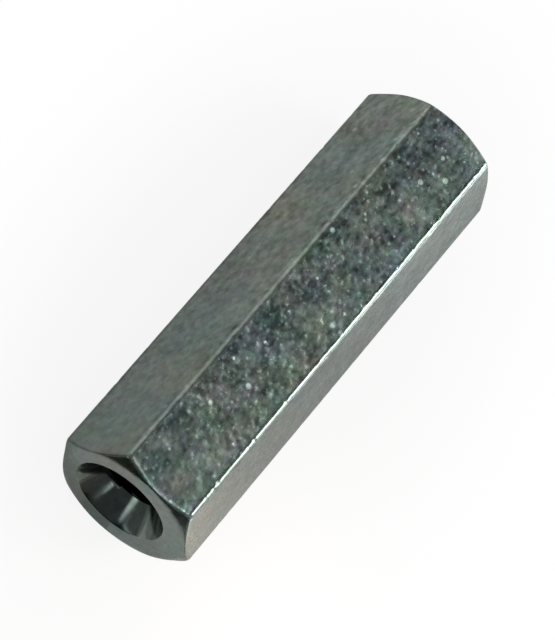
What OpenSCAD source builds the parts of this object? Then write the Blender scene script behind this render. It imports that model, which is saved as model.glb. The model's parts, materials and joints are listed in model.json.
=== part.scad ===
// Hexagon standoff with a tapped hole in each end. It spaces two panels or
// boards apart: a screw through each one threads into the nearer hole.
// The bar lies on one flat, along X, with its lowest flat at z = 0 and its
// middle over the origin. Millimetres.

/* [Bar] */
// Width across the flats of the hexagon bar
across_flats = 7; // [6:0.5:12]
// Length from end face to end face
length = 25; // [10:1:60]

/* [End chamfers] */
// How far inside the flats the chamfer's circle lies on the end face
chamfer_inset = 0.05; // [0.05:0.05:0.4]
// Slope of the chamfer, measured from the end face, in degrees
chamfer_angle = 27; // [10:1:45]

/* [Tapped holes] */
// Outer diameter of the thread, M4 coarse
thread_d = 4; // [2.5:0.5:5]
// Pitch of the thread, M4 coarse
thread_pitch = 0.7; // [0.35:0.05:0.8]
// Depth drilled to full width, from the end face
drill_depth = 10; // [4:0.5:30]
// Angle of the drill's point, across the whole point
drill_point_angle = 118; // [90:1:140]
// How far the countersink reaches past the thread's outer diameter, all round
countersink_margin = 0.45; // [0.1:0.05:0.8]
// Angle of the countersink, across the whole cone
countersink_angle = 60; // [50:1:120]
// How far the holes run off the middle of the bar, toward +Y
hole_offset = 0.25; // [0:0.05:0.5]

/* [Hidden] */

// Number of steps that draw each round shape
$fn = 96;
// Length by which a cutting shape passes the surface that it cuts
overcut = 1;
// Thinnest wall left between two drill points. A bar too short for it is drilled through.
thinnest_web = 1;

// The hexagon's corner, the chamfer's circle and where the chamfer leaves the bar
corner_r = across_flats / 2 / cos(30);
chamfer_r = across_flats / 2 - chamfer_inset;
turned_r = corner_r + overcut;
chamfer_length = (turned_r - chamfer_r) * tan(chamfer_angle);

// The thread is cut in a hole of the tapping size, which is its diameter less its pitch
drill_r = (thread_d - thread_pitch) / 2;
drill_point_length = drill_r / tan(drill_point_angle / 2);
drilled_through = length < 2 * (drill_depth + drill_point_length) + thinnest_web;

mouth_r = thread_d / 2 + countersink_margin;
countersink_slope = tan(countersink_angle / 2);
countersink_depth = (mouth_r - drill_r) / countersink_slope;

// Hexagon bar along X, with flats above and below
module hexagon_bar() {
    rotate([0, 90, 0])
        rotate([0, 0, 30])
            cylinder(r = corner_r, h = length, center = true, $fn = 6);
}

// Round envelope that leaves both end chamfers on whatever it meets
module turned_envelope() {
    half = length / 2;
    rotate([0, 90, 0])
        rotate_extrude()
            polygon([
                [0, -half],
                [chamfer_r, -half],
                [turned_r, -half + chamfer_length],
                [turned_r, half - chamfer_length],
                [chamfer_r, half],
                [0, half]
            ]);
}

// Blind drilling with its countersink, from a mouth at the origin up along Z
module blind_hole() {
    rotate_extrude()
        polygon([
            [0, -overcut],
            [mouth_r + overcut * countersink_slope, -overcut],
            [drill_r, countersink_depth],
            [drill_r, drill_depth],
            [0, drill_depth + drill_point_length]
        ]);
}

// Countersink alone, from a mouth at the origin up along Z to the hole's wall
module countersink() {
    cylinder(
        r1 = mouth_r + overcut * countersink_slope,
        r2 = drill_r,
        h = countersink_depth + overcut
    );
}

// Both holes of the bar, on one axis
module holes() {
    for (side = [-1, 1])
        translate([side * length / 2, 0, 0])
            rotate([0, -90 * side, 0])
                if (drilled_through)
                    translate([0, 0, -overcut]) countersink();
                else
                    blind_hole();
    if (drilled_through)
        rotate([0, 90, 0])
            cylinder(r = drill_r, h = length + 2 * overcut, center = true);
}

module standoff() {
    color([0.47, 0.49, 0.48])
        translate([0, 0, across_flats / 2])
            difference() {
                intersection() {
                    hexagon_bar();
                    turned_envelope();
                }
                translate([0, hole_offset, 0]) holes();
            }
}

standoff();
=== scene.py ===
"""The looks of a hexagon standoff: a zinc-plated steel bar with a tapped hole in each end.

The bar's surface is one closed skin, made by Geometry Nodes from strips of grid: the bore with
its helix, the countersink, the end face, the chamfer and the flats. Its length, its width and
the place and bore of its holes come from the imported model. The bar lies along X on one of its
flats. Lengths are in metres, except in the stage's tables of lamps and cards near the bar.
"""
import json
import math
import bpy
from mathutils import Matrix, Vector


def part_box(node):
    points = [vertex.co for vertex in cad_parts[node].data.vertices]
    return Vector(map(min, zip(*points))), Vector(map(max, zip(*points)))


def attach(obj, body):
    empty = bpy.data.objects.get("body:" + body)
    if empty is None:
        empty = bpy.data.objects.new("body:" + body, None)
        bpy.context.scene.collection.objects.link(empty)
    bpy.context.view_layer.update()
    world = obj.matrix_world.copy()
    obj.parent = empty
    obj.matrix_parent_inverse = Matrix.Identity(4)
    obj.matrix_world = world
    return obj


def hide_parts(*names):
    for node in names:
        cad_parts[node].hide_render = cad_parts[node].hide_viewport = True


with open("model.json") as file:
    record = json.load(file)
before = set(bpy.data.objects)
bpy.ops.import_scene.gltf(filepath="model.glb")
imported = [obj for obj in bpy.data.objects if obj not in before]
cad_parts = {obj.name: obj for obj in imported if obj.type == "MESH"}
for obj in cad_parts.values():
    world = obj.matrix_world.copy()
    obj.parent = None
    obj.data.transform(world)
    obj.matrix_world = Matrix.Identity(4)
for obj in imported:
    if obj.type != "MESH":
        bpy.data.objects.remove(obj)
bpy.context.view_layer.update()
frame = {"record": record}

from types import SimpleNamespace

import bpy
from bpy.props import FloatProperty, FloatVectorProperty, IntProperty, PointerProperty
from mathutils import Quaternion, Vector

bl_info = {
    "name": "Hexagon Standoff",
    "version": (1, 0, 0),
    "blender": (4, 5, 0),
    "location": "3D View > Sidebar > Standoff",
    "description": "Builds a zinc-plated hexagon standoff with tapped ends, and a stage for it",
    "category": "Add Mesh",
}

NODE = "standoff"
MM = 0.001

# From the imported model: the whole box, the bar's corners and middle, and a hole's wall and offset
LOW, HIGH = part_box(NODE)
CENTRE = (LOW + HIGH) / 2
HOLE = next(m for m in frame["record"]["mounts"] if m["kind"] == "threaded_hole")
DRILL_RADIUS = HOLE["dims"]["r_mm"] * MM
WALL_LENGTH = HOLE["dims"]["length_mm"] * MM
HOLE_OFFSET = HOLE["pos_m"][1]

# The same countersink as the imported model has
MOUTH_RADIUS = 2.45 * MM
COUNTERSINK_ANGLE = math.radians(60)
COUNTERSINK_DEPTH = (MOUTH_RADIUS - DRILL_RADIUS) / math.tan(COUNTERSINK_ANGLE / 2)


# Expressions on node sockets -----------------------------------------------------------------


class Value:
    """A socket in an expression. Each operator adds the Math or Vector Math node that works it out."""

    def __init__(self, graph, socket):
        self.graph = graph
        self.socket = socket

    def __add__(self, other):
        return self.graph.calculate("ADD", self, other)

    def __sub__(self, other):
        return self.graph.calculate("SUBTRACT", self, other)

    def __rsub__(self, other):
        return self.graph.calculate("SUBTRACT", other, self)

    def __mul__(self, other):
        return self.graph.calculate("MULTIPLY", self, other)

    def __truediv__(self, other):
        return self.graph.calculate("DIVIDE", self, other)

    def __rtruediv__(self, other):
        return self.graph.calculate("DIVIDE", other, self)

    def __pow__(self, other):
        return self.graph.calculate("POWER", self, other)

    def __gt__(self, other):
        return self.graph.calculate("GREATER_THAN", self, other)

    def __neg__(self):
        return self * -1.0

    def __abs__(self):
        return self.graph.calculate("ABSOLUTE", self)

    __radd__ = __add__
    __rmul__ = __mul__


class Graph:
    """Adds nodes to one node tree, of shaders or of geometry."""

    def __init__(self, tree):
        self.tree = tree

    def add(self, kind, settings=None, inputs=None):
        """A new node of a kind, with its settings made first, then its sockets' values or links."""
        node = self.tree.nodes.new(kind)
        for name, value in (settings or {}).items():
            if name == "stops":
                self.set_stops(node.color_ramp, value)
            else:
                setattr(node, name, value)
        for name, value in (inputs or {}).items():
            if isinstance(value, Value):
                self.tree.links.new(value.socket, node.inputs[name])
            else:
                node.inputs[name].default_value = value
        return node

    def get(self, kind, output, settings=None, inputs=None):
        """The named output of a new node, ready for an expression."""
        return Value(self, self.add(kind, settings, inputs).outputs[output])

    @staticmethod
    def set_stops(ramp, stops):
        """Gives a colour ramp its (place, grey) stops."""
        while len(ramp.elements) < len(stops):
            ramp.elements.new(1.0)
        for element, (place, grey) in zip(ramp.elements, stops):
            element.position = place
            element.color = (grey, grey, grey, 1.0)

    def calculate(self, operation, *terms):
        """A Math node on numbers, or a Vector Math node where a term is a vector."""
        kind = "ShaderNodeMath"
        if any(isinstance(t, tuple) or (isinstance(t, Value) and t.socket.type == "VECTOR") for t in terms):
            kind = "ShaderNodeVectorMath"
            terms = [(t, t, t) if isinstance(t, (int, float)) else t for t in terms]
        return self.get(kind, 0, {"operation": operation}, dict(enumerate(terms)))

    def clamp(self, value, low=0.0, high=1.0):
        """value kept between low and high."""
        return self.calculate("MINIMUM", self.calculate("MAXIMUM", value, low), high)

    def ramp(self, value, low, high):
        """A smooth step of value, from 0 at low to 1 at high."""
        return self.get(
            "ShaderNodeMapRange", 0, {"interpolation_type": "SMOOTHSTEP"},
            {"Value": value, "From Min": low, "From Max": high},
        )

    def vector(self, x, y, z):
        """A vector made of three values."""
        return self.get("ShaderNodeCombineXYZ", 0, None, {"X": x, "Y": y, "Z": z})

    def split(self, vector):
        """The three values that a vector or a colour is made of."""
        node = self.add("ShaderNodeSeparateXYZ", None, {"Vector": vector})
        return [Value(self, output) for output in node.outputs]

    def mix(self, factor, first, second):
        """A colour between two colours. Their sockets share names with others, so they go by number."""
        settings = {"data_type": "RGBA"}
        return self.get("ShaderNodeMix", 2, settings, {0: factor, 6: first, 7: second})

    def join(self, parts):
        """Several geometries as one."""
        joined = self.add("GeometryNodeJoinGeometry")
        for part in parts:
            self.tree.links.new(part.socket, joined.inputs[0])
        return Value(self, joined.outputs[0])


# What a user would change ---------------------------------------------------------------------


def angle(name, description, default):
    """An angle property, in radians."""
    return FloatProperty(
        name=name, description=description, default=default, min=0.1, max=2.4,
        subtype="ANGLE", unit="ROTATION",
    )


def size(name, description, default):
    """A length property, in metres."""
    return FloatProperty(
        name=name, description=description, default=default, min=0.0,
        subtype="DISTANCE", unit="LENGTH", precision=5,
    )


def share(name, description, default, high=10.0):
    """A plain number property."""
    return FloatProperty(name=name, description=description, default=default, min=0.0, max=high)


def colour(name, description, default):
    """A colour property, linear."""
    return FloatVectorProperty(
        name=name, description=description, default=default, min=0.0, max=1.0, subtype="COLOR", size=3,
    )


class BarSizes(bpy.types.PropertyGroup):
    """Sizes of the bar, its ends and its tapped holes."""

    length: size("Length", "From end face to end face", HIGH.x - LOW.x)
    across_flats: size("Across Flats", "Width between two opposite flats", HIGH.z - LOW.z)
    ridge_radius: size("Ridge Radius", "Rounding of the six long ridges", 0.40 * MM)
    chamfer_radius: size("Chamfer Radius", "Circle that the chamfer leaves on the end face", 3.40 * MM)
    chamfer_angle: angle("Chamfer Angle", "Slope of the chamfer from the end face", math.radians(29))
    end_rounding: size("End Rounding", "Rounding of the chamfer's edges", 0.15 * MM)
    far_rounding: size("Far Rounding", "The same at +X, where the bar was parted off cleanly", 0.06 * MM)
    far_chamfer_radius: size("Far Chamfer Radius", "The chamfer's circle at +X", 3.47 * MM)
    edge_radius: size("Edge Radius", "Rounding of the edge round the hole's mouth", 0.05 * MM)
    countersink_angle: angle("Countersink Angle", "Across the whole cone", COUNTERSINK_ANGLE)
    mouth_radius: size("Mouth Radius", "Countersink where it meets the end face", MOUTH_RADIUS)
    drill_radius: size("Drill Radius", "Wall of the tapping hole", DRILL_RADIUS)
    drill_depth: size("Drill Depth", "Hole at full width", WALL_LENGTH + COUNTERSINK_DEPTH)
    thread_radius: size("Thread Radius", "Root of the thread", 2.0 * MM)
    thread_pitch: size("Thread Pitch", "From one turn of the thread to the next", 0.7 * MM)
    thread_depth: size("Thread Depth", "Tapped length, from the end face", 8.0 * MM)
    hole_offset: size("Hole Offset", "Holes' axis from the bar's middle, toward +Y", HOLE_OFFSET)
    columns_per_flat: IntProperty(
        name="Columns per Flat", description="Faces across each flat", default=32, min=4, max=80,
    )
    rows: IntProperty(
        name="Rows", description="Faces along each flat", default=300, min=4, max=400,
    )


class BarWear(bpy.types.PropertyGroup):
    """Dents and nicks that the bar picked up among others."""

    dent_depth: size("Dent Depth", "Deepest dent in a flat", 0.012 * MM)
    dent_spacing: size("Dent Spacing", "Between one dent and the next", 0.7 * MM)
    nick_depth: size("Nick Depth", "Deepest nick in a ridge", 0.05 * MM)
    nick_length: size("Nick Length", "Along the ridge", 0.5 * MM)


class PlateFinish(bpy.types.PropertyGroup):
    """Colours and texture of the zinc plate."""

    grey: colour("Grey", "Plate where it is plain", (0.150, 0.158, 0.163))
    green: colour("Green", "Plate where its passivation shows", (0.124, 0.172, 0.138))
    roughness: share("Roughness", "Drawn and plated faces", 0.28, 1.0)
    ridge_roughness: share("Ridge Roughness", "Ridges, rubbed bright", 0.18, 1.0)
    bore_roughness: share("Bore Roughness", "Cut faces inside the holes", 0.14, 1.0)
    blotch_depth: size("Blotch Depth", "Unevenness of the knocked flat", 0.060 * MM)
    fine_depth: size("Fine Knock Depth", "Deepest of the small knocks", 0.021 * MM)
    broad_depth: size("Broad Knock Depth", "Deepest of the broad knocks", 0.022 * MM)
    patina: share("Patina", "Contrast of the small patches", 2.6)
    clouds: share("Clouds", "Contrast of the large patches", 2.1)
    tarnish: share("Tarnish", "Strength of the passivation's yellow and blue", 0.62)


class StageLevels(bpy.types.PropertyGroup):
    """Levels of the studio."""

    floor: share("Floor", "Grey of the floor", 0.52, 1.0)
    near_white: share("Near White", "How white the floor is close to the bar", 0.88, 1.0)
    horizon: share("Horizon", "World at the horizon", 1.0)
    overhead: share("Overhead", "World straight above", 0.4)


# The bar's shape ------------------------------------------------------------------------------

SIXTH = math.pi / 3
# How strongly the columns gather toward the ridges
GATHERING = 0.3
# The angle of the drill's point, and the point's depth for each metre of its radius
POINT_ANGLE = math.radians(118)
POINT_SLOPE = 1 / math.tan(POINT_ANGLE / 2)
# The thread's crest, flank and root as shares of its pitch, and the pitches that it fades in and out over
CREST, FLANK, ROOT = 0.25, 0.3125, 0.125
ROWS_PER_TURN = 4.0
FADE_IN, FADE_OUT = 0.3, 1.5
# The chamfer's two edges: the share of its width that each may round off, where the inner rounding
# starts, by the rounding and the width, and how far the outer rounding runs on, by the rounding
EDGE_SHARE = 0.45
INNER_START = (1.4, 0.15)
OUTER_END = 1.5
# How far an end piece reaches along the bar, as a share of the width across the flats
END_REACH = 0.1
# Points closer than this are welded, and edges sharper than this stay sharp
WELD = 2e-6
CREASE_ANGLE = math.radians(32)
# Distances from the axis, as shares of the flats' own, where the outside starts and where a ridge does
OUTSIDE = (0.97, 0.995)
RIDGE = (1.125, 1.142)
# The narrowest and the widest dent, as shares of their spacing, and how far from an end they fade in
DENT_REACH = (0.12, 0.37)
DENT_FADE = (0.2 * MM, 0.6 * MM)
# The levels of noise between which a nick deepens
NICK_LEVELS = (0.02, 0.25)


def declare_inputs(tree, *groups):
    """Gives a geometry tree one named input for each property, and returns their labels by identifier."""
    labels = {}
    for group in groups:
        for prop in group.bl_rna.properties:
            if prop.identifier in ("rna_type", "name"):
                continue
            kind = "NodeSocketInt" if prop.type == "INT" else "NodeSocketFloat"
            tree.interface.new_socket(prop.name, in_out="INPUT", socket_type=kind)
            labels[prop.identifier] = prop.name
    tree.interface.new_socket("Geometry", in_out="OUTPUT", socket_type="NodeSocketGeometry")
    return labels


def new_geometry_tree(name, *groups):
    """A new tree, its graph, and its inputs as values named as the properties are."""
    tree = bpy.data.node_groups.new(name, "GeometryNodeTree")
    labels = declare_inputs(tree, *groups)
    graph = Graph(tree)
    source = graph.add("NodeGroupInput")
    values = {key: Value(graph, source.outputs[label]) for key, label in labels.items()}
    return tree, graph, SimpleNamespace(**values)


def round_the_bar(graph, bar):
    """Each point of a raw unit grid: its row, its direction round the bar and the bar's radius there."""
    across, along, _ = graph.split(graph.get("GeometryNodeInputPosition", 0))
    sixths = (across + 0.5) * 6.0
    flat = graph.calculate("FLOOR", sixths)
    side = (sixths - flat) * 2.0 - 1.0
    # Columns gather toward the ridges, where side is -1 or 1
    lean = side * (1.0 + GATHERING - side * side * GATHERING) * (SIXTH / 2)
    theta = flat * SIXTH + (lean + SIXTH / 2)

    apothem = bar.across_flats / 2.0
    from_ridge = SIXTH / 2 - abs(lean)
    reach = (apothem - bar.ridge_radius) / math.cos(SIXTH / 2)
    bulge = bar.ridge_radius ** 2.0 - (reach * graph.calculate("SINE", from_ridge)) ** 2.0
    on_ridge = reach * graph.calculate("COSINE", from_ridge)
    on_ridge = on_ridge + graph.calculate("SQRT", graph.calculate("MAXIMUM", bulge, 0.0))
    on_flat = apothem / graph.calculate("COSINE", lean)
    flat_half = (apothem - bar.ridge_radius) * math.tan(SIXTH / 2)
    is_ridge = abs(apothem * graph.calculate("TANGENT", lean)) > flat_half
    return SimpleNamespace(
        row=along + 0.5,
        turn=theta / (2 * math.pi),
        cosine=graph.calculate("COSINE", theta),
        sine=graph.calculate("SINE", theta),
        radius=on_flat + is_ridge * (on_ridge - on_flat),
        height=apothem,
    )


def strip(graph, bar, rows, place):
    """A band of the skin: a grid with a column for each direction round the bar, moved to its place."""
    columns = bar.columns_per_flat * 6.0 + 1.0
    unit = {"Size X": 1.0, "Size Y": 1.0, "Vertices X": columns, "Vertices Y": rows + 1}
    grid = graph.get("GeometryNodeMeshGrid", "Mesh", None, unit)
    return graph.get("GeometryNodeSetPosition", "Geometry", None, {"Geometry": grid, "Position": place})


def craters(graph, place, spacing, narrowest, widest):
    """Shallow bowls, one to each cell of a Voronoi field, and 1 deep at the deepest.

    The narrowest and the widest are radii, as shares of the spacing.
    """
    cells = graph.add("ShaderNodeTexVoronoi", None, {"Vector": place, "Scale": 1.0 / spacing})
    wide, deep, _ = graph.split(Value(graph, cells.outputs["Color"]))
    rim = wide * (widest - narrowest) + narrowest
    bowl = graph.clamp(1.0 - (Value(graph, cells.outputs["Distance"]) / rim) ** 2.0)
    return bowl * bowl * (deep * deep)


def noise(graph, place, grain, detail=2.0, roughness=0.5):
    """Even noise round 0, of a grain in metres."""
    inputs = {"Vector": place, "Scale": 1.0 / grain, "Detail": detail, "Roughness": roughness}
    return graph.get("ShaderNodeTexNoise", 0, None, inputs) - 0.5


def straight(row, start, end):
    """Points on straight lines from one ring to another."""
    return start + (end - start) * row


def bend(row, start, corner, end):
    """Points on curves that round off a corner between two rings."""
    rest = 1.0 - row
    return start * (rest * rest) + corner * (row * rest * 2.0) + end * (row * row)


def end_tree():
    """The end of the bar at -X: its hole from the drill's point out, its face and its chamfer."""
    tree, graph, bar = new_geometry_tree("Bar End", BarSizes)
    point = round_the_bar(graph, bar)
    face = bar.length * -0.5

    def ring(depth, radius, centre=0.0):
        """Points round the axis at a depth from the end face and a radius, moved by centre along Y."""
        return graph.vector(
            face + depth, point.cosine * radius + centre, point.sine * radius + point.height,
        )

    # The cone of the countersink ends at the drill's wall, and the thread starts there
    cone_slope = graph.calculate("TANGENT", bar.countersink_angle / 2.0)
    start = (bar.mouth_radius - bar.drill_radius) / cone_slope
    lip = bar.edge_radius

    # The thread: four rows a turn, at the ends of its crest and its root, along a helix
    turns = graph.calculate("CEIL", (bar.thread_depth - start) / bar.thread_pitch) + 1.0
    thread_rows = turns * ROWS_PER_TURN
    step = graph.calculate("ROUND", point.row * thread_rows)
    turn = graph.calculate("FLOOR", step / ROWS_PER_TURN)
    part = step - turn * ROWS_PER_TURN
    along = turn + graph.clamp(part) * CREST + graph.clamp(part - 1.0) * FLANK
    along = along + graph.clamp(part - 2.0) * ROOT
    depth = start + (along + point.turn - 1.0) * bar.thread_pitch
    depth = graph.clamp(depth, start, bar.thread_depth)
    fade_out = graph.clamp((bar.thread_depth - depth) / (bar.thread_pitch * FADE_OUT))
    fade_in = graph.clamp((depth - start) / (bar.thread_pitch * FADE_IN))
    height = (bar.thread_radius - bar.drill_radius) * fade_out * fade_in
    at_root = part > 1.5
    thread = ring(depth, bar.drill_radius + height * at_root, bar.hole_offset)

    # Where the chamfer meets the flats, and room for the rounding of its two edges
    slope = graph.calculate("TANGENT", bar.chamfer_angle)
    span = point.radius - bar.chamfer_radius
    back = span * slope
    ease = graph.calculate("MINIMUM", bar.end_rounding, span * EDGE_SHARE)
    lead = bar.end_rounding * INNER_START[0] - span * INNER_START[1]
    hole = bar.hole_offset

    # The rings that the strips run between, from the drill's point out to the flats
    tip = ring(bar.drill_depth + bar.drill_radius * POINT_SLOPE, 0.0, hole)
    wall_end = ring(bar.drill_depth, bar.drill_radius, hole)
    thread_end = ring(bar.thread_depth, bar.drill_radius, hole)
    cone_end = ring(start, bar.drill_radius, hole)
    lip_in = ring(lip, bar.mouth_radius - lip * cone_slope, hole)
    mouth = ring(0.0, bar.mouth_radius, hole)
    lip_out = ring(0.0, bar.mouth_radius + lip, hole)
    face_end = ring(0.0, bar.chamfer_radius - lead)
    circle = ring(0.0, bar.chamfer_radius)
    chamfer_start = ring(ease * slope, bar.chamfer_radius + ease)
    chamfer_end = ring(back - ease * slope, point.radius - ease)
    shoulder = ring(back, point.radius)
    flat_start = ring(back + bar.end_rounding * OUTER_END, point.radius)
    reach = ring(bar.across_flats * END_REACH, point.radius)

    # Each strip's number of rows and its place
    row = point.row
    strips = (
        (2, straight(row, tip, wall_end)),
        (2, straight(row, wall_end, thread_end)),
        (thread_rows, thread),
        (6, straight(row, cone_end, lip_in)),
        (3, bend(row, lip_in, mouth, lip_out)),
        (5, straight(row, lip_out, face_end)),
        (5, bend(row, face_end, circle, chamfer_start)),
        (4, straight(row, chamfer_start, chamfer_end)),
        (6, bend(row, chamfer_end, shoulder, flat_start)),
        (3, straight(row, flat_start, reach)),
    )
    bands = []
    for rows, place in strips:
        band = strip(graph, bar, rows, place)
        if place is thread:
            # The thread's rows run from the mouth inward, so its faces are turned round
            band = graph.get("GeometryNodeFlipFaces", 0, None, {0: band})
        bands.append(band)
    graph.add("NodeGroupOutput", None, {"Geometry": graph.join(bands)})
    return tree


def worn(graph, bar):
    """How far each point of the flats and ridges is pushed in by dents and nicks."""
    position = graph.get("GeometryNodeInputPosition", 0)
    x, y, z = graph.split(position)
    apothem = bar.across_flats / 2.0
    radius = graph.get(
        "ShaderNodeVectorMath", "Value", {"operation": "LENGTH"}, {0: graph.vector(0.0, y, z - apothem)},
    )
    outside = graph.ramp(radius, apothem * OUTSIDE[0], apothem * OUTSIDE[1])
    on_ridge = graph.ramp(radius, apothem * RIDGE[0], apothem * RIDGE[1])
    half = bar.length * 0.5
    clear_of_ends = graph.ramp(abs(x), half - DENT_FADE[0], half - DENT_FADE[1])
    dent = craters(graph, position, bar.dent_spacing, *DENT_REACH) * bar.dent_depth
    ragged = noise(graph, position, bar.nick_length, 3.0, 0.6)
    nick = graph.ramp(ragged, *NICK_LEVELS) * on_ridge * bar.nick_depth
    return (dent * clear_of_ends + nick) * outside


def bar_tree(material):
    """The whole bar: its flats between two ends, welded, worn, shaded and given its material."""
    tree, graph, bar = new_geometry_tree("Standoff Bar", BarSizes, BarWear)
    end = end_tree()
    shared = [item.name for item in end.interface.items_tree if item.in_out == "INPUT"]
    source = next(node for node in tree.nodes if node.type == "GROUP_INPUT")

    def bar_end(changes):
        """One end, with the bar's own sizes but for the changes."""
        inputs = {name: Value(graph, source.outputs[name]) for name in shared}
        inputs.update(changes)
        return graph.get("GeometryNodeGroup", 0, {"node_tree": end}, inputs)

    # The far end is made at -X too and turned half round, so its hole's offset changes sign first
    near = bar_end({})
    far = bar_end({
        "Hole Offset": -bar.hole_offset,
        "End Rounding": bar.far_rounding,
        "Chamfer Radius": bar.far_chamfer_radius,
    })
    turned = {"Geometry": far, "Rotation": (0.0, 0.0, math.pi)}
    far = graph.get("GeometryNodeTransform", 0, None, turned)
    point = round_the_bar(graph, bar)
    half = bar.length * 0.5 - bar.across_flats * END_REACH
    place = graph.vector(
        (point.row * 2.0 - 1.0) * half, point.cosine * point.radius, point.sine * point.radius + point.height,
    )
    joined = graph.join((near, strip(graph, bar, bar.rows, place), far))
    merging = {"Geometry": joined, "Distance": WELD}
    welded = graph.get("GeometryNodeMergeByDistance", 0, None, merging)
    inward = graph.get("GeometryNodeInputNormal", "Normal") * (worn(graph, bar) * -1.0)
    pushed = graph.get("GeometryNodeSetPosition", 0, None, {"Geometry": welded, "Offset": inward})
    crease = graph.get("GeometryNodeInputMeshEdgeAngle", "Unsigned Angle") > CREASE_ANGLE
    smooth = graph.get("GeometryNodeSetShadeSmooth", 0, {"domain": "FACE"}, {"Geometry": pushed})
    sharp = graph.get(
        "GeometryNodeSetShadeSmooth", 0, {"domain": "EDGE"},
        {"Geometry": smooth, "Selection": crease, "Shade Smooth": False},
    )
    real = graph.get("GeometryNodeRealizeInstances", 0, None, {"Geometry": sharp})
    finished = graph.get("GeometryNodeSetMaterial", 0, None, {"Geometry": real, "Material": material})
    graph.add("NodeGroupOutput", None, {"Geometry": finished})
    return tree


def made_mesh(name, tree, *groups):
    """Runs a geometry tree with the properties' values, and returns a plain object that holds its mesh."""
    maker = bpy.data.objects.new(name + "_maker", bpy.data.meshes.new(name + "_maker"))
    bpy.context.scene.collection.objects.link(maker)
    modifier = maker.modifiers.new("shape", "NODES")
    modifier.node_group = tree
    sockets = {item.name: item.identifier for item in tree.interface.items_tree if item.in_out == "INPUT"}
    for group in groups:
        for prop in group.bl_rna.properties:
            if prop.name in sockets:
                modifier[sockets[prop.name]] = getattr(group, prop.identifier)
    shape = maker.evaluated_get(bpy.context.evaluated_depsgraph_get())
    mesh = bpy.data.meshes.new_from_object(shape)
    bpy.data.objects.remove(maker)
    mesh.name = name
    made = bpy.data.objects.new(name, mesh)
    bpy.context.scene.collection.objects.link(made)
    return made


# Materials ------------------------------------------------------------------------------------

# Where the finish changes: the hole's mouth and the ridges by distance from an axis, the upper flat by
# height, and the near end along the bar
MOUTH_EDGE = (MOUTH_RADIUS + 0.05 * MM, MOUTH_RADIUS)
RIDGE_EDGE = (3.90 * MM, 3.98 * MM)
UPPER_EDGE = (6.6 * MM, 6.95 * MM)
NEAR_END = (-12.0 * MM, -7.0 * MM)
# The part of the knocks that the other flats have too
ELSEWHERE = 0.1
# Knocks and patches are drawn out along the bar, and the lines that drawing left are more so
DRAWN_OUT, DRAWN_LINES = 0.72, 0.15
# Height of those lines, in millimetres as the knocks are, and the grain of each pattern
LINE_HEIGHT = 0.0006
LINE_GRAIN = 0.05 * MM
BLOTCH_GRAIN = 0.42 * MM
PATCH_GRAIN = 0.32 * MM
CLOUD_GRAIN = 1.4 * MM
HUE_GRAIN = 1.1 * MM
TARNISH_GRAIN = 2.6 * MM
SHEEN_GRAIN = 0.3 * MM
# Spacing, narrowest and widest of the bowls in each pattern
FINE_KNOCKS = (0.34 * MM, 0.32, 0.80)
BROAD_KNOCKS = (0.60 * MM, 0.32, 0.80)
SMALL_GLINT_SPOTS = (0.26 * MM, 0.22, 0.55)
LARGE_GLINT_SPOTS = (0.90 * MM, 0.096, 0.24)
SPECKS = (2.2 * MM, 0.036, 0.09)
# How much the painted glints lighten the plate and the specks darken it
SMALL_GLINT_LIGHT, LARGE_GLINT_LIGHT, SPECK_DARK = 2.4, 8.0, 2.0
# What the plate's colour is multiplied by where it is plain, and at the least and the most
PLAIN_SHADE = 1.03
SHADES = (0.4, 5.0)


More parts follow.
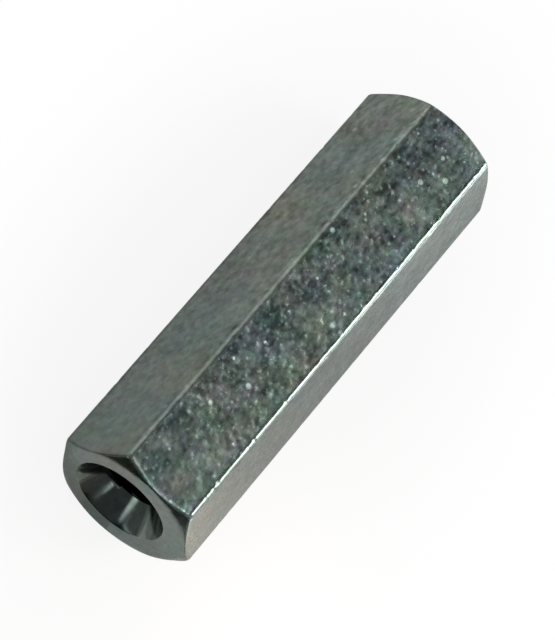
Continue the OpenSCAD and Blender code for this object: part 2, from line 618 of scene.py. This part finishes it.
def zinc_plate(finish):
    """Bright zinc plate on drawn steel, knocked about on its upper flat and much less elsewhere."""
    material = bpy.data.materials.new("zinc_plate")
    material.use_nodes = True
    graph = Graph(material.node_tree)
    shader = material.node_tree.nodes["Principled BSDF"]
    place = graph.get("ShaderNodeTexCoord", "Object")
    x, y, z = graph.split(place)

    # Where on the bar: inside the holes, on the ridges, on the upper flat, and how far from the near end.
    # A number that x or y is multiplied by is the change for each metre
    from_hole = ((y - HOLE_OFFSET) ** 2.0 + (z - CENTRE.z) ** 2.0) ** 0.5
    from_axis = (y ** 2.0 + (z - CENTRE.z) ** 2.0) ** 0.5
    bored = graph.ramp(from_hole, *MOUTH_EDGE)
    outside = 1.0 - bored
    rubbed = graph.ramp(from_axis, *RIDGE_EDGE)
    knocked = graph.ramp(z, *UPPER_EDGE) * (1.0 - rubbed) * (1.0 - ELSEWHERE) + ELSEWHERE
    from_near_end = graph.ramp(x, *NEAR_END) * 0.25 + x * 22.0 + 0.85

    def at_least(least):
        """1 on the knocked flat, and little more than least on the others."""
        return knocked * (1.0 - least) + least

    def shifted(distance):
        """The same place further on in a pattern, so that two patterns don't line up."""
        return place + (0.0, 0.0, distance)

    # Knocks are shallow bowls of two sizes, over plate that is uneven by itself
    drawn_out = graph.vector(x * DRAWN_OUT, y, z)
    fine = craters(graph, drawn_out, *FINE_KNOCKS)
    broad = craters(graph, drawn_out, *BROAD_KNOCKS)
    blotch = noise(graph, drawn_out, BLOTCH_GRAIN, 1.0, 0.6)
    lines = noise(graph, graph.vector(x * DRAWN_LINES, y, z), LINE_GRAIN)
    knocks = blotch * (finish.blotch_depth / MM) - fine * (finish.fine_depth / MM)
    knocks = knocks - broad * (finish.broad_depth / MM)
    height = knocks * from_near_end * knocked + lines * LINE_HEIGHT
    bump = graph.get("ShaderNodeBump", "Normal", None, {"Distance": MM, "Height": height * outside})

    # Patina in small patches and large clouds, with bright painted glints and dark specks, and painted shade
    # that makes the upper flat darker toward +Y and toward -X
    small_patches = noise(graph, drawn_out, PATCH_GRAIN, 1.5, 0.6) * finish.patina
    clouds = noise(graph, place, CLOUD_GRAIN, 1.0) * finish.clouds * at_least(0.35)
    patina = (small_patches + clouds) * at_least(0.42) * from_near_end
    # Painted shade: the upper flat's colour is darker toward +Y and lighter toward +X, for how the light
    # falls on it
    painted_shade = knocked * (y * -150.0 + x * 14.0 + 0.12)
    # Painted glints: small bright spots in the upper flat's colour, where its dings would catch the light
    small_glints = craters(graph, shifted(5.0 * MM), *SMALL_GLINT_SPOTS)
    large_glints = craters(graph, shifted(9.0 * MM), *LARGE_GLINT_SPOTS)
    painted_glints = (small_glints * SMALL_GLINT_LIGHT + large_glints * LARGE_GLINT_LIGHT) * knocked * from_near_end
    specks = craters(graph, place, *SPECKS) * (1.0 - knocked)
    shade = graph.clamp(PLAIN_SHADE + patina + painted_shade - specks * SPECK_DARK + painted_glints, *SHADES)

    # Green where the passivation shows, and its faint yellow and blue in clouds, over a slow change
    # from one side of the bar to the other
    hue = noise(graph, place, HUE_GRAIN, 2.5, 0.6) * (knocked * 1.5 + 1.5) + 0.5
    tint = graph.mix(graph.clamp(hue), (*finish.grey, 1.0), (*finish.green, 1.0))
    warm = noise(graph, shifted(14.0 * MM), TARNISH_GRAIN, 3.0, 0.65) * finish.tarnish
    warm = warm * at_least(0.55) + knocked * (clouds * 0.06 - y * 8.0)
    warm = warm + (1.0 - knocked) * (y * 7.0 + 0.02)
    tint = tint * graph.vector(shade * (warm + (1.0 - knocked * 0.04)), shade, shade * (1.0 - warm))

    # A little uneven all over, smoother on the rubbed ridges and smoothest where it was cut
    rough = noise(graph, place, SHEEN_GRAIN, 3.0) * 0.12 + finish.roughness
    rough = rough - rubbed * (finish.roughness - finish.ridge_roughness)
    rough = rough * outside + bored * finish.bore_roughness
    for name, value in (("Base Color", tint), ("Roughness", rough), ("Normal", bump)):
        graph.tree.links.new(value.socket, shader.inputs[name])
    shader.inputs["Metallic"].default_value = 1.0
    return material


# Operators and panel --------------------------------------------------------------------------


class STANDOFF_OT_bar(bpy.types.Operator):
    """Make the bar in place of its plain model"""

    bl_idname = "standoff.make_bar"
    bl_label = "Make Bar"

    def execute(self, context):
        scene = context.scene
        tree = bar_tree(zinc_plate(scene.standoff_finish))
        bar = made_mesh("standoff_bar", tree, scene.standoff_sizes, scene.standoff_wear)
        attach(bar, "root")
        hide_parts(NODE)
        return {"FINISHED"}


class STANDOFF_OT_stage(bpy.types.Operator):
    """Make the floor, the lights, the world and the camera"""

    bl_idname = "standoff.make_stage"
    bl_label = "Make Stage"

    def execute(self, context):
        levels = context.scene.standoff_stage
        make_floor(levels)
        make_lamps()
        make_cards()
        make_world(levels)
        make_camera()
        return {"FINISHED"}


class STANDOFF_PT_panel(bpy.types.Panel):
    """Lists the makers"""

    bl_idname = "STANDOFF_PT_panel"
    bl_label = "Standoff"
    bl_space_type = "VIEW_3D"
    bl_region_type = "UI"
    bl_category = "Standoff"

    def draw(self, context):
        """A button for each maker."""
        for operator in (STANDOFF_OT_bar, STANDOFF_OT_stage):
            self.layout.operator(operator.bl_idname)


# Stage ----------------------------------------------------------------------------------------

# The camera's angles are in degrees, and its lens in millimetres for a frame of 36 mm on its longer side
CAMERA_AZIMUTH = 249.27
CAMERA_ELEVATION = 60.12
CAMERA_ROLL = 64.11
CAMERA_DISTANCE = 164.3 * MM
CAMERA_LENS = 195.8
CAMERA_AIM = Vector((-0.053, 0.145, -0.058)) * MM
CAMERA_CLIP = (0.01, 5.0)
# How far toward +X the directions lean that the sides of the bar mirror to the camera
MIRROR_LEAN = 0.447
FLOOR_HALF = 0.6
# The distances from the bar between which the floor turns even white, and how little X counts in them
WHITE_FROM, WHITE_TO = 6.0 * MM, 16.0 * MM
WHITE_ALONG = 0.3
# How much white the bar mirrors from the floor on top of the floor's grey
MIRRORED_WHITE = 0.15
# In millimetres: where the upright cards stand, and how high over the floor the lying ones are
WALL_X = -21.0
LIFT = 0.1


def around(gamma, lean=MIRROR_LEAN):
    """A direction at an angle from straight up toward -Y, in degrees, leaning toward +X.

    With the usual lean, the flats and ridges mirror these directions to the camera.
    """
    across = (1 - lean * lean) ** 0.5
    turn = math.radians(gamma)
    return Vector((lean, -across * math.sin(turn), across * math.cos(turn)))


# Name, direction from the bar, distance, width and height in metres, radiance
LAMPS = (
    ("side_lamp", around(54), 0.30, 0.10, 0.24, 8.5),
    ("other_side_lamp", around(-48), 0.30, 0.12, 0.20, 0.75),
    ("zenith_lamp", Vector((0.03, -0.18, 0.98)), 0.30, 0.08, 0.10, 3.4),
    ("top_lamp", around(0, 0.22), 0.35, 0.05, 0.05, 6.0),
)

# Small lamps close to the near end. Name, place, width and height in millimetres, radiance, colour,
# the way they face, and whether reflections see them
SMALL_LAMPS = (
    ("upper_streak", (-20.8, -11.0, 14.2), 6.0, 1.8, 2.2, (1.0, 1.0, 1.0), (1.0, 0.0, 0.0), True),
    ("middle_streak", (-20.8, 10.4, 12.0), 6.0, 2.6, 2.2, (1.0, 1.0, 1.0), (1.0, 0.0, 0.0), True),
    ("floor_glow", (-11.0, -13.0, 7.0), 8.0, 8.0, 7.0, (1.0, 0.78, 0.62), (0.0, 0.3, -1.0), False),
)

# Upright cards past the near end, mostly dark: painted shade in what the end, its chamfer and its hole
# mirror. Name, and in millimetres the Y and the Z that they span, level
WALL_CARDS = (
    ("near_card", (-45.0, -12.0), (0.0, 20.0), 0.17),
    ("middle_card", (-12.0, 11.0), (9.0, 20.0), 0.12),
    ("far_card", (11.0, 40.0), (0.0, 20.0), 0.22),
    ("low_card", (-12.0, 9.0), (0.5, 9.0), 0.02),
)

# Cards that lie just over the floor, which paint light and shade into the floor that the bar mirrors: the
# contact cards are painted shadow next to the near end, the side cards painted pools of light. Name, and in
# millimetres the X and the Y that they span and their height, level
FLOOR_CARDS = (
    ("near_floor_card", (-20.0, -12.6), (-60.0, -8.0), 2 * LIFT, 0.22),
    ("end_floor_card", (-20.0, -14.0), (-8.0, 1.5), LIFT, 0.85),
    ("end_floor_card_far", (-20.0, -14.0), (1.5, 7.0), LIFT, 0.90),
    ("contact_card_near", (-14.0, -12.6), (-8.0, -0.8), LIFT, 0.62),
    ("contact_card", (-14.0, -12.6), (-0.8, 1.0), LIFT, 0.38),
    ("contact_card_far", (-14.0, -12.6), (1.0, 7.0), LIFT, 0.50),
    ("far_floor_card", (-20.0, -12.6), (7.0, 24.0), 2 * LIFT, 0.5),
    ("side_floor_card_near", (-60.0, -5.0), (-90.0, -15.0), LIFT, 4.0),
    ("side_floor_card_middle", (-5.0, 10.0), (-90.0, -15.0), LIFT, 1.1),
    ("side_floor_card_far", (10.0, 90.0), (-90.0, -15.0), LIFT, 4.0),
    ("other_floor_card", (-12.0, 90.0), (12.0, 90.0), LIFT, 0.85),
)

# The dark card overhead, painted shade in what the bar mirrors: its direction from the bar, its distance,
# half width and half height in metres, level
TOP_CARD = (around(33), 0.28, 0.1, 0.06, 0.03)

# The heights at which the world's level has fallen a little and by half, and those two levels
LOW_SKY, HIGH_SKY = 0.45, 0.8
LITTLE_LESS, HALF_LESS = 0.9, 0.45


def make_camera():
    """The camera, above one end, looking down the bar."""
    azimuth, elevation = math.radians(CAMERA_AZIMUTH), math.radians(CAMERA_ELEVATION)
    back = Vector((
        math.sin(azimuth) * math.cos(elevation),
        -math.cos(azimuth) * math.cos(elevation),
        math.sin(elevation),
    ))
    roll = Quaternion((0, 0, 1), math.radians(CAMERA_ROLL))
    data = bpy.data.cameras.new("camera")
    data.lens = CAMERA_LENS
    data.clip_start, data.clip_end = CAMERA_CLIP
    camera = bpy.data.objects.new("camera", data)
    camera.rotation_mode = "QUATERNION"
    camera.rotation_quaternion = (-back).to_track_quat("-Z", "Y") @ roll
    camera.location = CENTRE + CAMERA_AIM + back * CAMERA_DISTANCE
    bpy.context.scene.collection.objects.link(camera)
    bpy.context.scene.camera = camera


def plain_plane(name, low, high, material, place=Vector(), turn=Quaternion()):
    """A rectangle from low to high in its own X and Y, turned and moved into place in its mesh."""
    corners = [(low[0], low[1]), (high[0], low[1]), (high[0], high[1]), (low[0], high[1])]
    mesh = bpy.data.meshes.new(name)
    mesh.from_pydata([place + turn @ Vector((x, y, 0)) for x, y in corners], [], [(0, 1, 2, 3)])
    mesh.materials.append(material)
    plane = bpy.data.objects.new(name, mesh)
    bpy.context.scene.collection.objects.link(plane)
    return plane


def empty_material(name):
    """A material without nodes, and its graph."""
    material = bpy.data.materials.new(name)
    material.use_nodes = True
    material.node_tree.nodes.clear()
    return material, Graph(material.node_tree)


def make_floor(levels):
    """A plain pale floor. Close to the bar it keeps some shade, and further off it is an even white."""
    material, graph = empty_material("floor")
    x, y, _ = graph.split(graph.get("ShaderNodeTexCoord", "Object"))
    far = graph.ramp((x * x * WHITE_ALONG + y * y) ** 0.5, WHITE_FROM, WHITE_TO)
    path = graph.add("ShaderNodeLightPath")
    camera = Value(graph, path.outputs["Is Camera Ray"])
    white = camera * (far * (1.0 - levels.near_white) + levels.near_white)
    mirrored = graph.calculate(
        "MAXIMUM",
        Value(graph, path.outputs["Is Glossy Ray"]),
        Value(graph, path.outputs["Is Transmission Ray"]),
    )
    grey = (levels.floor, levels.floor, levels.floor, 1)
    diffuse = graph.get("ShaderNodeBsdfDiffuse", 0, None, {"Color": grey})
    glow = graph.get("ShaderNodeEmission", 0, None, {"Color": (1, 1, 1, 1), "Strength": 1.0})
    shares = {0: white + mirrored * MIRRORED_WHITE, 1: diffuse, 2: glow}
    both = graph.get("ShaderNodeMixShader", 0, None, shares)
    graph.add("ShaderNodeOutputMaterial", None, {"Surface": both})
    plain_plane("floor", (-FLOOR_HALF, -FLOOR_HALF), (FLOOR_HALF, FLOOR_HALF), material)


def lamp(name, place, facing, width, height, radiance):
    """A soft rectangular lamp of a given radiance, which the camera doesn't see."""
    data = bpy.data.lights.new(name, "AREA")
    data.shape = "RECTANGLE"
    data.size, data.size_y = width, height
    data.energy = radiance * math.pi * width * height
    lamp_object = bpy.data.objects.new(name, data)
    lamp_object.location = place
    lamp_object.rotation_mode = "QUATERNION"
    lamp_object.rotation_quaternion = facing.to_track_quat("-Z", "Y")
    lamp_object.visible_camera = False
    bpy.context.scene.collection.objects.link(lamp_object)
    return lamp_object


def make_lamps():
    """A soft lamp on each side, smaller ones overhead, and small ones close to the near end."""
    for name, direction, distance, width, height, radiance in LAMPS:
        toward = direction.normalized()
        lamp(name, CENTRE + toward * distance, -toward, width, height, radiance)
    for name, place, width, height, radiance, tint, facing, mirrored in SMALL_LAMPS:
        small = lamp(name, Vector(place) * MM, Vector(facing), width * MM, height * MM, radiance)
        small.data.color = tint
        small.visible_glossy = mirrored


def card(name, place, turn, low, high, level):
    """A card that glows at an even level and that only reflections see. It paints light, or where its level
    is low shade, into what the bar mirrors.
    """
    material, graph = empty_material(name)
    glow = graph.get("ShaderNodeEmission", 0, None, {"Strength": level})
    graph.add("ShaderNodeOutputMaterial", None, {"Surface": glow})
    plane = plain_plane(name, low, high, material, place, turn)
    for ray in ("camera", "diffuse", "transmission", "volume_scatter", "shadow"):
        setattr(plane, "visible_" + ray, False)


def make_cards():
    """Glowing cards round the near end, on the floor and overhead, for reflections only: painted light and
    shade in what the bar mirrors.
    """
    wall = Vector((WALL_X * MM, 0.0, 0.0))
    upright = Quaternion((0, 1, 0), math.radians(90))
    for name, across, up, level in WALL_CARDS:
        card(name, wall, upright, (-up[1] * MM, across[0] * MM), (-up[0] * MM, across[1] * MM), level)
    for name, along, across, height, level in FLOOR_CARDS:
        lifted = Vector((0.0, 0.0, height * MM))
        low, high = (along[0] * MM, across[0] * MM), (along[1] * MM, across[1] * MM)
        card(name, lifted, Quaternion(), low, high, level)
    toward, distance, half_width, half_height, level = TOP_CARD
    facing = (-toward).to_track_quat("-Z", "Y")
    low, high = (-half_width, -half_height), (half_width, half_height)
    card("top_card", CENTRE + toward * distance, facing, low, high, level)


def make_world(levels):
    """A plain studio: white where the camera sees it, and round the bar pale low down, darker overhead."""
    world = bpy.data.worlds.new("studio")
    bpy.context.scene.world = world
    world.use_nodes = True
    graph = Graph(world.node_tree)
    _, _, up = graph.split(graph.get("ShaderNodeTexCoord", "Generated"))
    stops = (
        (0.0, levels.horizon),
        (LOW_SKY, levels.horizon * LITTLE_LESS),
        (HIGH_SKY, HALF_LESS),
        (1.0, levels.overhead),
    )
    level = graph.get("ShaderNodeValToRGB", 0, {"stops": stops}, {0: up})
    camera = graph.get("ShaderNodeLightPath", "Is Camera Ray")
    background = world.node_tree.nodes["Background"]
    world.node_tree.links.new(graph.mix(camera, level, (1, 1, 1, 1)).socket, background.inputs["Color"])


CLASSES = (BarSizes, BarWear, PlateFinish, StageLevels, STANDOFF_OT_bar, STANDOFF_OT_stage, STANDOFF_PT_panel)


def register():
    """Registers the classes and hangs their settings on the scene."""
    for cls in CLASSES:
        bpy.utils.register_class(cls)
    bpy.types.Scene.standoff_sizes = PointerProperty(type=BarSizes)
    bpy.types.Scene.standoff_wear = PointerProperty(type=BarWear)
    bpy.types.Scene.standoff_finish = PointerProperty(type=PlateFinish)
    bpy.types.Scene.standoff_stage = PointerProperty(type=StageLevels)


def unregister():
    """Takes the settings and the classes away again."""
    del bpy.types.Scene.standoff_stage
    del bpy.types.Scene.standoff_finish
    del bpy.types.Scene.standoff_wear
    del bpy.types.Scene.standoff_sizes
    for cls in reversed(CLASSES):
        bpy.utils.unregister_class(cls)


def main():
    """Makes the bar and its stage."""
    register()
    bpy.context.scene.view_settings.view_transform = "Standard"
    bpy.ops.standoff.make_bar()
    bpy.ops.standoff.make_stage()


if __name__ == "__main__":
    main()
